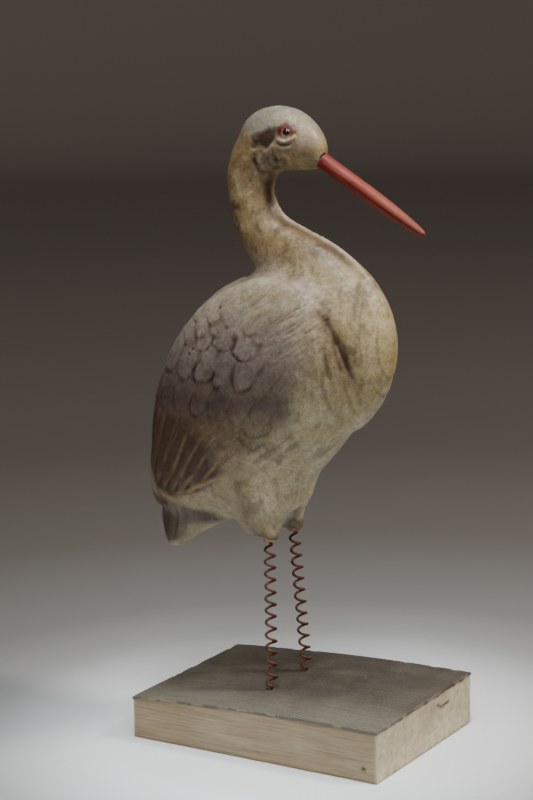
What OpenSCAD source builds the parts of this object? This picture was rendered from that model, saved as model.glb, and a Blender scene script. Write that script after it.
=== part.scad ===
// Painted papier-mache stork that stands on two coiled wire legs over a wooden block.
// Frame: +X is the way the beak points, +Y is the bird's left, +Z is up.
// Origin: centre of the block's underside. All sizes are in millimetres.

/* [Block] */
// Length of the wooden block, along the bird
block_length = 128; // [116:1:140]
// Width of the wooden block
block_width = 92; // [80:1:110]
// Height of the painted top above the middle of the underside, before the crown
block_height = 21.8; // [19:0.2:28]
// How much higher the front edge is than the tail edge
block_rise = 5.2; // [0:0.2:8]
// Extra height of the crown across the middle of the top
block_crown = 1.6; // [0:0.1:3]
// Thickness of the painted ground on top of the block
coat_thick = 0.6; // [0.4:0.1:1.5]

/* [Legs] */
// Diameter of the leg wire
wire_d = 1.2; // [0.9:0.05:1.4]
// Outside diameter of the coil
coil_od = 5.8; // [4.8:0.1:6.4]
// Number of turns in each leg
coil_turns = 12; // [9:0.5:13]
// Height of the thigh ends above the underside of the block
hip_height = 92.5; // [80:0.5:105]
// Distance of each foot from the middle plane
foot_side = 16; // [13:0.5:18]
// Distance of each thigh end from the middle plane
hip_side = 11; // [10:0.5:12]
// How far the feet stand ahead of the thigh ends
foot_lead = 3; // [0:0.5:6]
// Length of wire that is driven into the block
foot_tail = 12; // [8:1:15]

/* [Bird] */
// Wall thickness of the papier-mache
shell_wall = 2.2; // [1.8:0.1:2.6]
// Distance of the thigh ends behind the block's centre
hip_back = 10; // [4:1:16]
// Width of the paper strips glued over the seam, inside
tape_width = 12; // [8:1:14]
// Thickness of those strips
tape_thick = 0.5; // [0.4:0.1:0.8]

/* [Beak] */
// Length of the beak outside the face
beak_length = 59; // [50:1:64]
// Radius of the beak at the face
beak_r = 3.5; // [3.2:0.1:3.9]
// Radius of the beak's blunt tip
beak_tip_r = 0.9; // [0.7:0.1:1.3]
// Angle of the beak below level
beak_droop = 31; // [28:1:34]

/* [Eyes] */
// Radius of each eye bead
eye_r = 1.9; // [1.6:0.1:2.1]

/* [Hidden] */

// The bird's own points are measured from the middle between the thigh ends.
hip = [-hip_back, 0, hip_height];
fit_gap = 0.05;
far = 300;

// Shapes of the bird: each station is [x, y, z, half height, half width].
// Half height is measured across the line through the stations, in the middle plane.
outer_sides = 24;
outer_steps = 2;
inner_sides = 16;
inner_steps = 1;
head_stations = [
    [22.8, 0, 173.4, 4.8, 4.6],
    [21, 0, 174.5, 6.9, 6.4],
    [17.5, 0, 177, 9.7, 8.8],
    [11.5, 0, 180, 13, 11.4],
    [4, 0, 182.2, 14.6, 12.6],
    [-4.5, 0, 181.8, 13.8, 12],
    [-11.5, 0, 179.5, 10.6, 9.6],
    [-16.5, 0, 177.5, 5, 5],
    [-18, 0, 177, 1, 1]
];
neck_stations = [
    [2, 0, 182, 3, 3],
    [-3, 0, 180, 11.2, 10],
    [-8.6, 0, 175, 12.6, 11],
    [-12.6, 0, 167.5, 12, 10.4],
    [-13.6, 0, 158, 11.2, 10],
    [-11, 0, 147.5, 11.4, 10.4],
    [-4.6, 0, 137.5, 13, 11.2],
    [6, 0, 128.5, 16.4, 12.8],
    [17.5, 0, 119.5, 20.6, 15],
    [27, 0, 108.5, 24.4, 17.2],
    [33.3, 0, 95, 25.8, 18.6],
    [35, 0, 81.5, 22.4, 18.6],
    [32.5, 0, 68, 17.8, 17],
    [28.5, 0, 57, 11.5, 13],
    [26.5, 0, 51, 2, 3]
];
trunk_stations = [
    [30, 0, 108, 2, 2],
    [27, 0, 104, 20, 13.5],
    [19.5, 0, 98, 33, 21],
    [9.4, 0, 89, 41.4, 26.5],
    [-2.6, 0, 76.2, 46.6, 29.5],
    [-15.2, 0, 59.4, 45.7, 29.5],
    [-27.5, 0, 42.3, 39.2, 27],
    [-38.5, 0, 26, 28.5, 21.5],
    [-47.5, 0, 12.5, 19, 15],
    [-54, 0, 1, 11.5, 9.5],
    [-58, 0, -8, 6, 6.5],
    [-60, 0, -12.5, 2.4, 3.4]
];
wing_stations = [
    [42, 10.5, 103, 2, 2],
    [38.5, 12.5, 101, 15, 7],
    [30.5, 15.5, 98, 26, 10.5],
    [16.6, 18.2, 91.8, 35.8, 12],
    [-0.5, 19.5, 79, 41.2, 12],
    [-15.5, 19.5, 62.5, 39.2, 11.5],
    [-29, 18.5, 46, 32.8, 10.5],
    [-40.5, 16.5, 31.5, 23.5, 9],
    [-51, 14.5, 19.5, 14, 6.5],
    [-58, 13, 10.5, 4, 3]
];
// The belly runs down in one mass to the two short thigh ends.
haunch_stations = [
    [-3, 0, 46, 18, 24],
    [-4, 0, 34, 20, 24],
    [-5, 0, 23, 20, 23],
    [-6, 0, 14, 18, 20],
    [-6, 0, 8, 15, 16.5],
    [-3.5, 0, 3.8, 8.5, 13]
];
// The hollow of the haunch ends here, so that a wall is left under it.
haunch_hollow_end = [-4.8, 0, 6, 11.5, 14.5];
thigh_stations = [
    [-1, 10.4, 13, 8, 7],
    [-0.5, 10.8, 8, 7.2, 6.4],
    [0, 11, 3, 4.9, 4.7],
    [0, 11, 0, 4.1, 4]
];

// Plug and socket sizes
beak_socket = 3;
tenon_r = 2.3;
tenon_length = 17;
beak_base = [23.4, 0, 173.4];
head_plug_r = 5.2;
head_plug_start = 8;
head_plug_length = 13;
leg_plug_r = 3;
leg_plug_length = 16;
plug_wire_depth = 12;
plug_collar = 1.8;
eye_place = [10.9, 9.6, 186.2];

function block_top(x) = block_height + block_rise * x / block_length
    + block_crown * (1 - pow(2 * x / block_length, 2));

// The beak stays thick to beyond its middle, then rounds off to the tip.
function beak_radius(t) =
    beak_tip_r + (beak_r - beak_tip_r) * pow(1 - pow(max(0, (t - 0.35) / 0.65), 2.2), 0.6);

function pick(list, i) = list[max(0, min(len(list) - 1, i))];

// Catmull-Rom point between entries i and i + 1 of a list of equal vectors.
function between(list, i, t) =
    let (a = pick(list, i - 1), b = pick(list, i), c = pick(list, i + 1), d = pick(list, i + 2))
    0.5 * (2 * b + (c - a) * t + (2 * a - 5 * b + 4 * c - d) * t * t
        + (3 * b - a - 3 * c + d) * t * t * t);

function refined(list, steps) = [
    for (i = [0 : len(list) - 2], k = [0 : steps - 1]) between(list, i, k / steps),
    list[len(list) - 1]
];

function place(s) = [s[0], s[1], s[2]];

function direction(list, i) =
    let (d = place(pick(list, i + 1)) - place(pick(list, i - 1)))
    d / norm(d);

// Ellipse of points around station i, made smaller by inset.
function ring(list, i, inset, sides) =
    let (s = list[i], t = direction(list, i))
    let (up = [-t[2], 0, t[0]] / norm([t[2], 0, t[0]]), side = cross(t, up))
    [for (k = [0 : sides - 1])
        let (angle = 360 * k / sides)
        place(s) + up * (s[3] - inset) * cos(angle) + side * (s[4] - inset) * sin(angle)];

// Side faces and end faces of a closed skin over count rings.
function skin_faces(count, sides) = concat(
    [for (i = [0 : count - 2], k = [0 : sides - 1])
        let (a = i * sides + k, b = i * sides + (k + 1) % sides)
        each [[a, a + sides, b + sides], [a, b + sides, b]]],
    [[for (k = [0 : sides - 1]) k]],
    [[for (k = [sides - 1 : -1 : 0]) (count - 1) * sides + k]]
);

// Closed solid through the stations, with its surface moved inwards by inset.
module loft(stations, inset) {
    sides = inset > 0 ? inner_sides : outer_sides;
    steps = inset > 0 ? inner_steps : outer_steps;
    kept = [for (s = refined(stations, steps)) if (min(s[3], s[4]) - inset > 0.6) s];
    points = [for (i = [0 : len(kept) - 1]) each ring(kept, i, inset, sides)];
    polyhedron(points, skin_faces(len(kept), sides), convexity = 6);
}

// Mirrors a shape drawn on the bird's left to the right when side is -1.
module on_side(side) {
    mirror([0, side < 0 ? 1 : 0, 0]) children();
}

// Head, neck and trunk, along which the strips inside the seam run.
module spine_form(inset) {
    loft(head_stations, inset);
    loft(neck_stations, inset);
    loft(trunk_stations, inset);
}

module haunch_form(inset) {
    upper = [for (i = [0 : len(haunch_stations) - 2]) haunch_stations[i]];
    loft(inset > 0 ? concat(upper, [haunch_hollow_end]) : haunch_stations, inset);
}

// Bird as one solid with the wing of one side.
module body_form(side, inset) {
    spine_form(inset);
    haunch_form(inset);
    on_side(side) loft(wing_stations, inset);
}

// Puts a shape on the beak's axis: +Z runs from the face to the beak's tip.
module on_beak_axis() {
    translate(beak_base) rotate([0, 90 + beak_droop, 0]) children();
}

module head_plug_form(gap) {
    on_beak_axis()
        translate([0, 0, -head_plug_start - head_plug_length - gap])
            cylinder(r = head_plug_r + gap, h = head_plug_length + 2 * gap, $fn = 48);
}

module leg_plug_form(side, gap) {
    translate([0, side * hip_side, -gap])
        cylinder(r = leg_plug_r + gap, h = leg_plug_length + 2 * gap, $fn = 48);
}

// Pulp that is left solid around the wooden plugs
module plug_collars(side) {
    on_beak_axis()
        translate([0, 0, -head_plug_start - head_plug_length + 1])
            cylinder(r = head_plug_r + plug_collar, h = head_plug_length + head_plug_start, $fn = 48);
    translate([0, side * hip_side, 0])
        cylinder(r = leg_plug_r + plug_collar, h = leg_plug_length - 2, $fn = 48);
}

module eye_form(side, gap) {
    translate([eye_place[0], side * eye_place[1], eye_place[2]])
        sphere(r = eye_r + gap, $fn = 32);
}

// Half space on one side of the middle plane: side 1 is the bird's left.
module half_space(side) {
    translate([-far, side > 0 ? 0 : -far, -far / 2]) cube([2 * far, far, 2 * far]);
}

module half_shell(side) {
    translate(hip)
        intersection() {
            difference() {
                union() {
                    body_form(side, 0);
                    on_side(side) loft(thigh_stations, 0);
                }
                difference() {
                    body_form(side, shell_wall);
                    plug_collars(side);
                }
                head_plug_form(fit_gap);
                leg_plug_form(side, fit_gap);
                eye_form(side, fit_gap);
                on_beak_axis() {
                    translate([0, 0, -beak_socket - fit_gap])
                        cylinder(r = beak_r + fit_gap, h = far, $fn = 48);
                    translate([0, 0, -head_plug_start - 1])
                        cylinder(r = tenon_r + fit_gap, h = far, $fn = 48);
                }
            }
            half_space(side);
        }
}

// Line in the middle plane that parts the front strip from the back strip
strip_parting = [[100, 127.5], [23.4, 173.4], [-2, 181], [-12, 166], [-8, 148], [2, 118], [0, 70], [-60, -14]];

// Paper strip on the inside of the seam, on the side of the parting that holds the given corners.
// It bridges the hollow of the haunch.
module seam_tape(corners) {
    inset = shell_wall + fit_gap;
    collar = head_plug_r + plug_collar + fit_gap;
    translate(hip)
        intersection() {
            difference() {
                spine_form(inset);
                spine_form(inset + tape_thick);
                on_beak_axis()
                    translate([0, 0, -head_plug_start - head_plug_length])
                        cylinder(r = collar, h = far, $fn = 48);
            }
            rotate([90, 0, 0])
                linear_extrude(height = tape_width, center = true)
                    polygon(concat(strip_parting, corners));
        }
}

// One leg: a tube of wire from inside the block up into the thigh.
module leg_spring(side) {
    foot = [foot_lead - hip_back, side * foot_side, block_top(foot_lead - hip_back)];
    top = hip + [0, side * hip_side, 0];
    rise = top - foot;
    axis = rise / norm(rise);
    e1 = cross([0, 1, 0], axis) / norm(cross([0, 1, 0], axis));
    e2 = cross(axis, e1);
    coil_r = (coil_od - wire_d) / 2;
    ring_count = ceil(coil_turns * 10);
    wire_sides = 8;
    // The coil opens from the wire's axis over the first and last half turn.
    spread = 0.5 / coil_turns;
    path = [
        foot - [0, 0, foot_tail],
        foot - [0, 0, foot_tail / 2],
        foot - [0, 0, 0.8],
        for (i = [0 : ring_count])
            let (t = i / ring_count, open = min(1, t / spread, (1 - t) / spread))
            let (r = coil_r * sin(90 * open), angle = -360 * coil_turns * t)
            foot + rise * (0.012 + 0.976 * t) + r * (e1 * cos(angle) + e2 * sin(angle)),
        top + [0, 0, 0.8],
        top + [0, 0, plug_wire_depth / 2],
        top + [0, 0, plug_wire_depth - 1]
    ];
    points = [for (i = [0 : len(path) - 1])
        let (t = direction(path, i))
        let (u = cross(t, axis + [0.3, 0.2, 0]) / norm(cross(t, axis + [0.3, 0.2, 0])), v = cross(t, u))
        for (k = [0 : wire_sides - 1])
            let (angle = 360 * k / wire_sides)
            path[i] + wire_d / 2 * (u * cos(angle) + v * sin(angle))];
    polyhedron(points, skin_faces(len(path), wire_sides), convexity = 10);
}

// Outline of the block from the side, up to the given depth below the painted top.
module block_outline(depth) {
    half = block_length / 2;
    steps = 24;
    polygon(concat(
        [[half, 0], [-half, 0]],
        [for (i = [0 : steps])
            let (x = -half + block_length * i / steps)
            [x, block_top(x) - depth]]
    ));
}

module wire_holes() {
    for (side = [-1, 1])
        translate([foot_lead - hip_back, side * foot_side, block_top(foot_lead - hip_back) - foot_tail - 1])
            cylinder(d = wire_d + 2 * fit_gap, h = far, $fn = 32);
}

module block_slab(depth) {
    rotate([90, 0, 0])
        linear_extrude(height = block_width, center = true)
            block_outline(depth);
}

module base_block() {
    color("tan")
        difference() {
            block_slab(coat_thick);
            wire_holes();
        }
}

module base_top_coat() {
    color("darkslategray")
        difference() {
            block_slab(0);
            block_slab(coat_thick);
            wire_holes();
        }
}

module leg_spring_right() {
    color("saddlebrown") leg_spring(-1);
}

module leg_spring_left() {
    color("saddlebrown") leg_spring(1);
}

module leg_plug(side) {
    color("burlywood")
        translate(hip)
            difference() {
                leg_plug_form(side, 0);
                translate([0, side * hip_side, -1])
                    cylinder(d = wire_d + 2 * fit_gap, h = plug_wire_depth + 1, $fn = 32);
            }
}

module leg_plug_right() {
    leg_plug(-1);
}

module leg_plug_left() {
    leg_plug(1);
}

module shell_right() {
    color("wheat") half_shell(-1);
}

module shell_left() {
    color("wheat") half_shell(1);
}

module seam_tape_front() {
    color("beige") seam_tape([[100, -14]]);
}

module seam_tape_back() {
    color("beige") seam_tape([[-100, -14], [-100, 200], [100, 200]]);
}

module head_plug() {
    color("burlywood")
        translate(hip)
            difference() {
                head_plug_form(0);
                on_beak_axis()
                    translate([0, 0, -beak_socket - tenon_length - 1])
                        cylinder(r = tenon_r + fit_gap, h = far, $fn = 48);
            }
}

module beak() {
    color("firebrick")
        translate(hip)
            on_beak_axis()
                rotate_extrude($fn = 48)
                    polygon([
                        [0, -beak_socket - tenon_length],
                        [tenon_r, -beak_socket - tenon_length],
                        [tenon_r, -beak_socket],
                        [beak_r, -beak_socket],
                        [beak_r, 0],
                        for (t = [0.35 : 0.05 : 0.95])
                            [beak_radius(t), beak_length * t],
                        [beak_tip_r / 2, beak_length],
                        [0, beak_length]
                    ]);
}

module eye_right() {
    color("saddlebrown") translate(hip) eye_form(-1, 0);
}

module eye_left() {
    color("saddlebrown") translate(hip) eye_form(1, 0);
}

base_block();
base_top_coat();
leg_spring_right();
leg_spring_left();
leg_plug_right();
leg_plug_left();
shell_right();
shell_left();
seam_tape_front();
seam_tape_back();
head_plug();
beak();
eye_right();
eye_left();
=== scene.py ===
"""Looks of a spring-legged papier-mache stork on a wooden block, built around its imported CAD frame.

Lengths are in millimetres until a mesh is made, and MM turns them into metres. "Ahead" is along +X and
"above" along +Z, both from the hip, which is the point midway between the tops of the two legs."""

import itertools
import math

import bmesh
import bpy
import numpy as np
from mathutils import Matrix, Vector, kdtree


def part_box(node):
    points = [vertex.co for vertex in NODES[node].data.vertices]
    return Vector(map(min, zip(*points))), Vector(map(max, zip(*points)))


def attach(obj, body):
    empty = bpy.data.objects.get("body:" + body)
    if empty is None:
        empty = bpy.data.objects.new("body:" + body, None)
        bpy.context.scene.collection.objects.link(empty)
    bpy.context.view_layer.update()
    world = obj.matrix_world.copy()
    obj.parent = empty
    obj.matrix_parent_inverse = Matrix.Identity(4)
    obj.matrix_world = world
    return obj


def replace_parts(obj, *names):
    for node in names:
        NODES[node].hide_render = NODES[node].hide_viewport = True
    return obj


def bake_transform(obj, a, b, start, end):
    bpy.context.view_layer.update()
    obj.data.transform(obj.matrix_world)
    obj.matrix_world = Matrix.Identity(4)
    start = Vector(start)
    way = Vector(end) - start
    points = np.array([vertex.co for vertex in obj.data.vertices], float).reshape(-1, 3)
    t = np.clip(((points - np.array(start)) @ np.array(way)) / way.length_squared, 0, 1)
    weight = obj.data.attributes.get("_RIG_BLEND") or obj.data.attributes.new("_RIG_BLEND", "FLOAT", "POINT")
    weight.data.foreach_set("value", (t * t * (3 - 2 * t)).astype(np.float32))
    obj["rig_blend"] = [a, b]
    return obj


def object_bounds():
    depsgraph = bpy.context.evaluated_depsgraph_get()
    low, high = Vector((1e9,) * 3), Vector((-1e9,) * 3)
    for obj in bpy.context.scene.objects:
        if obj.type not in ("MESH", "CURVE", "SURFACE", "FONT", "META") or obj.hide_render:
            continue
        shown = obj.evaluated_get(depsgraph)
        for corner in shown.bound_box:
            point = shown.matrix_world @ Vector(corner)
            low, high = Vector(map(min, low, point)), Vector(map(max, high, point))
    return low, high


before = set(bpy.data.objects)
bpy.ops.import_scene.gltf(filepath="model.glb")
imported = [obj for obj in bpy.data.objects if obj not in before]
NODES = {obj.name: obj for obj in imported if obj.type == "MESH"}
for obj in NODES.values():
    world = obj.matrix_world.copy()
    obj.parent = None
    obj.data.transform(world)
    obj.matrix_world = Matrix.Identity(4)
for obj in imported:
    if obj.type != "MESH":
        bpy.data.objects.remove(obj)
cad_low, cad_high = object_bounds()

MM = 0.001
SIDES = ((-1, "right"), (1, "left"))


def box_mm(node):
    """Lowest and highest corner of a CAD node, in millimetres."""
    low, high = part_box(node)
    return np.array(low) / MM, np.array(high) / MM


PLUG_LOW, PLUG_HIGH = box_mm("leg_plug_right")
HIP = np.array([(PLUG_LOW[0] + PLUG_HIGH[0]) / 2, 0, PLUG_LOW[2]])
BLOCK_LOW, BLOCK_HIGH = box_mm("base_block")

# The same driving sizes as the CAD design.
BEAK_ROOT = HIP + [23.4, 0, 173.4]
BEAK_DROOP = math.radians(31)
BEAK_LENGTH, BEAK_RADIUS, BEAK_TIP_RADIUS = 59, 3.5, 0.9
TENON_LENGTH, TENON_RADIUS = 17, 2.3
EYE_PLACE = np.array([10.9, 9.6, 186.2])  # ahead, out from the middle, above
EYE_RADIUS = 1.9
FOOT = np.array([-7, 16, 23.1])
LEG_TOP = np.array([HIP[0], 11, HIP[2]])
WIRE_RADIUS, COIL_RADIUS, COIL_TURNS = 0.6, 2.3, 12
FOOT_TAIL, TOP_TAIL = 12, 12
COAT_THICKNESS = 0.6

# The key light is on the far right, seen from the camera, as the shadows of the legs show.
KEY_HEADING, KEY_HEIGHT, KEY_DISTANCE = math.radians(20), math.radians(49), 0.95
KEY_POWER, OVERHEAD_POWER, TOP_FRONT_POWER, FRONT_POWER, NEAR_FLOOR_POWER = 6.5, 3.5, 5.0, 3.5, 0.12
AIR_STRENGTH = 0.03

# The bird's skin is meshed at this spacing, evened out so many times, and halved once more.
SKIN_SPACING = 1.2
FACET_ROUNDS = 40
SHELL_OVERLAP = 0.15  # how far each half shell is pushed into the other before they are meshed as one
# Small balls fill these creases, ahead, out and above the hip, where the remesh left pits. They don't close the
# skin at this spacing: the remesh still takes in the inner surface of the shells.
CREASES = ((3.5, 0, 13), (3.5, 5, 12), (6, 13, 22), (-18, 24, 36), (5, 3.5, 141.4), (-53, 0, 70.4))
CREASE_RADIUS = 3.0
FILLET_TOP, FILLET_ROUNDS = 150, 90  # creases below this height above the hip are rounded so many times
HAUNCH_TOP = 54
DEEPEST_MARK, HIGHEST_MARK = 1.2, 1.8  # the wall under them is 2.2 thick

# The block's upper face, as in the CAD design: higher at one end, crowned and a little twisted.
TOP_HEIGHT, TOP_SLOPE, TOP_CROWN, TOP_TWIST, TOP_WAVE = 21.2, 5.2, 1.6, 0.4, 0.18
DRAFT_HEIGHT = 20  # the block is a plain box this high before its top is shaped
CORNER_REACH = 0.5  # how deep the saw marks and pores on one face go on round its edges


# ---------------------------------------------------------------- numbers and noise

def smoothstep(x, low, high):
    t = np.clip((x - low) / (high - low), 0, 1)
    return t * t * (3 - 2 * t)


def bump_at(x, centre, width):
    """1 at the centre, falling to nothing over about the width."""
    return np.exp(-(((x - centre) / width) ** 2))


def mix(a, b, share):
    return a + (b - a) * share[..., None]


def srgb(red, green, blue):
    """A colour given as it looks on a screen, 0 to 255, as linear light."""
    c = np.array([red, green, blue]) / 255
    return np.where(c <= 0.04045, c / 12.92, ((c + 0.055) / 1.055) ** 2.4)


def value_noise(points, seed):
    """Smooth noise from -1 to 1 with features about one unit across."""
    cell = np.floor(points).astype(np.int64)
    part = points - cell
    part = part * part * (3 - 2 * part)
    total = np.zeros(len(points))
    for corner in itertools.product((0, 1), repeat=3):
        c = cell + np.array(corner)
        h = (c[:, 0] * 73856093) ^ (c[:, 1] * 19349663) ^ (c[:, 2] * 83492791) ^ (seed * 40503 + 977)
        h = ((h ^ (h >> 13)) * 1274126177) & 0xFFFFFFFF
        h = ((h ^ (h >> 16)) & 0xFFFF) / 32767.5 - 1
        total += h * np.where(corner, part, 1 - part).prod(1)
    return total


def fractal(points, size, octaves, seed):
    """Layers of noise: the largest features are about size millimetres across."""
    total, weight, full = 0, 1.0, 0
    for octave in range(octaves):
        total = total + weight * value_noise(points * (2 ** octave / size) + 17.3 * octave, seed + octave)
        full += weight
        weight *= 0.5
    return total / full


def along_noise(u, w, angle, length, width, seed):
    """Streaky noise in the side view: streaks run at an angle in degrees."""
    a = np.radians(angle)
    along, across = u * np.cos(a) + w * np.sin(a), -u * np.sin(a) + w * np.cos(a)
    return value_noise(np.column_stack([along / length, across / width, across * 0 + seed]), seed)


def line_distance(u, w, points):
    """Distance to a line through points, and how far along it from 0 to 1 the nearest place is."""
    points = np.array(points, float)
    best, place = np.full(len(u), 1e9), np.zeros(len(u))
    for i, (a, b) in enumerate(zip(points[:-1], points[1:])):
        d = b - a
        t = np.clip(((u - a[0]) * d[0] + (w - a[1]) * d[1]) / (d @ d), 0, 1)
        away = np.hypot(u - a[0] - t * d[0], w - a[1] - t * d[1])
        nearer = away < best
        best[nearer] = away[nearer]
        place[nearer] = (i + t[nearer]) / (len(points) - 1)
    return best, place


def inside_distance(u, w, outline):
    """Distance to a closed outline, positive inside it."""
    points = np.array(outline, float)
    inside = np.zeros(len(u), bool)
    for a, b in zip(points, np.roll(points, -1, 0)):
        crosses = (a[1] > w) != (b[1] > w)
        at = a[0] + (w - a[1]) * (b[0] - a[0]) / (b[1] - a[1] + 1e-12)
        inside ^= crosses & (u < at)
    away, _ = line_distance(u, w, np.vstack([points, points[:1]]))
    return np.where(inside, away, -away)


# ---------------------------------------------------------------- meshes

def link(obj):
    bpy.context.scene.collection.objects.link(obj)
    return obj


def make_mesh(name, vertices, faces):
    """A mesh object from points in millimetres."""
    mesh = bpy.data.meshes.new(name)
    mesh.from_pydata((np.asarray(vertices) * MM).tolist(), [], [tuple(map(int, f)) for f in faces])
    mesh.validate()
    return link(bpy.data.objects.new(name, mesh))


def points_of(obj):
    co = np.empty(len(obj.data.vertices) * 3, np.float32)
    obj.data.vertices.foreach_get("co", co)
    return co.reshape(-1, 3).astype(float) / MM


def set_points(obj, points):
    obj.data.vertices.foreach_set("co", (points * MM).astype(np.float32).ravel())
    obj.data.update()


def normals_of(obj):
    n = np.empty(len(obj.data.vertices) * 3, np.float32)
    obj.data.vertex_normals.foreach_get("vector", n)
    return n.reshape(-1, 3).astype(float)


def set_values(obj, name, values):
    """Stores numbers or colours on the points of a mesh, for its material to read."""
    if values.ndim == 2:
        layer = obj.data.attributes.new(name, "FLOAT_COLOR", "POINT")
        opaque = np.column_stack([values, np.ones(len(values))])
        layer.data.foreach_set("color", opaque.astype(np.float32).ravel())
    else:
        layer = obj.data.attributes.new(name, "FLOAT", "POINT")
        layer.data.foreach_set("value", values.astype(np.float32))


def neighbour_blur(values, edges, rounds, share=1.0):
    """Each value moves by a share of the way to its neighbours' average, again and again."""
    values = values.reshape(len(values), -1).copy()
    count = np.bincount(edges.ravel(), minlength=len(values))[:, None]
    first, second = edges[:, 0], edges[:, 1]
    for _ in range(rounds):
        total = np.empty_like(values)
        for c in range(values.shape[1]):
            total[:, c] = np.bincount(first, values[second, c], len(values))
            total[:, c] += np.bincount(second, values[first, c], len(values))
        values += share * (total / count - values)
    return values.squeeze()


def edges_of(obj):
    edges = np.empty(len(obj.data.edges) * 2, np.int32)
    obj.data.edges.foreach_get("vertices", edges)
    return edges.reshape(-1, 2)


def apply_modifiers(obj):
    """Replaces an object's mesh by what its modifiers make of it."""
    graph = bpy.context.evaluated_depsgraph_get()
    made = bpy.data.meshes.new_from_object(obj.evaluated_get(graph))
    obj.modifiers.clear()
    obj.data = made
    return obj


def cut(obj, other, how):
    """Boolean of two closed meshes: DIFFERENCE, INTERSECT or UNION."""
    modifier = obj.modifiers.new("cut", "BOOLEAN")
    modifier.object, modifier.operation, modifier.solver = other, how, "MANIFOLD"
    return apply_modifiers(obj)


def copy_of(obj, name):
    twin = obj.copy()
    twin.data = obj.data.copy()
    twin.name = name
    twin.data.name = name
    return link(twin)


def remove(*objects):
    for o in objects:
        bpy.data.objects.remove(o)


def welded(node, shift=(0, 0, 0)):
    """A loose closed copy of a CAD node's mesh, moved by a shift in millimetres."""
    mesh = NODES[node].data.copy()
    work = bmesh.new()
    work.from_mesh(mesh)
    bmesh.ops.remove_doubles(work, verts=work.verts, dist=0.002 * MM)
    bmesh.ops.translate(work, verts=work.verts, vec=Vector(shift) * MM)
    work.to_mesh(mesh)
    work.free()
    mesh.materials.clear()
    return link(bpy.data.objects.new("loose_" + node, mesh))


def ball(centre, radius):
    work = bmesh.new()
    bmesh.ops.create_icosphere(work, subdivisions=4, radius=radius * MM)
    bmesh.ops.translate(work, verts=work.verts, vec=Vector(centre) * MM)
    mesh = bpy.data.meshes.new("ball")
    work.to_mesh(mesh)
    work.free()
    return link(bpy.data.objects.new("ball", mesh))


def join(objects):
    with bpy.context.temp_override(active_object=objects[0], selected_editable_objects=objects):
        bpy.ops.object.join()
    return objects[0]


def drop_parts(obj, smallest_kept):
    """Deletes the loose parts of a mesh that hold less than a share of its points, but never the largest."""
    edges = edges_of(obj)
    label = np.arange(len(obj.data.vertices))
    while True:
        low = np.minimum(label[edges[:, 0]], label[edges[:, 1]])
        new = label.copy()
        np.minimum.at(new, edges[:, 0], low)
        np.minimum.at(new, edges[:, 1], low)
        new = new[new]
        if (new == label).all():
            break
        label = new
    sizes = np.bincount(label)
    least = min(smallest_kept * len(label), sizes.max())
    work = bmesh.new()
    work.from_mesh(obj.data)
    gone = [v for v, own in zip(work.verts, sizes[label]) if own < least]
    bmesh.ops.delete(work, geom=gone, context="VERTS")
    work.to_mesh(obj.data)
    work.free()
    return obj


def soften(obj, sharp_above=40):
    """Smooth shading, with an edge kept where faces meet at more than so many degrees."""
    obj.data.polygons.foreach_set("use_smooth", [True] * len(obj.data.polygons))
    obj.data.set_sharp_from_angle(angle=math.radians(sharp_above))
    return obj


def tube_faces(rings, sides):
    """The faces of a tube whose points are rings one after the other, with both ends closed."""
    faces = []
    for low in range(0, (rings - 1) * sides, sides):
        high = low + sides
        for k in range(sides):
            after = (k + 1) % sides
            faces.append((low + after, low + k, high + k, high + after))
    faces.append(tuple(range(sides)))
    faces.append(tuple((rings - 1) * sides + k for k in reversed(range(sides))))
    return faces


def swept_rings(centres, radii, sides):
    """The points of a round bar along a line. Radii may differ round each ring."""
    centres = np.array(centres, float)
    tangent = np.gradient(centres, axis=0)
    tangent /= np.linalg.norm(tangent, axis=1)[:, None]
    side = np.cross(tangent[0], [0, 0, 1])
    if np.linalg.norm(side) < 0.1:
        side = np.cross(tangent[0], [0, 1, 0])
    angles = np.arange(sides) * 2 * math.pi / sides
    points = []
    for centre, t, radius in zip(centres, tangent, radii):
        side = side - (side @ t) * t
        side /= np.linalg.norm(side)
        up = np.cross(side, t)
        ring = np.outer(np.cos(angles), side) + np.outer(np.sin(angles), up)
        points.append(centre + ring * (radius[:, None] if np.ndim(radius) else radius))
    return np.vstack(points)


def lattice_box(counts):
    """The surface of a unit box as a grid of square faces that share their edges."""
    index, points, faces = {}, [], []

    def vertex(place):
        if place not in index:
            index[place] = len(points)
            points.append([p / c for p, c in zip(place, counts)])
        return index[place]

    for axis in range(3):
        b, c = [k for k in range(3) if k != axis]
        for end in (0, counts[axis]):
            for i, j in itertools.product(range(counts[b]), range(counts[c])):
                corners = []
                for di, dj in ((0, 0), (1, 0), (1, 1), (0, 1)):
                    place = [0, 0, 0]
                    place[axis], place[b], place[c] = end, i + di, j + dj
                    corners.append(vertex(tuple(place)))
                outward = (end > 0) != (axis == 1)
                faces.append(corners if outward else corners[::-1])
    return np.array(points), faces


# ---------------------------------------------------------------- materials

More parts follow.
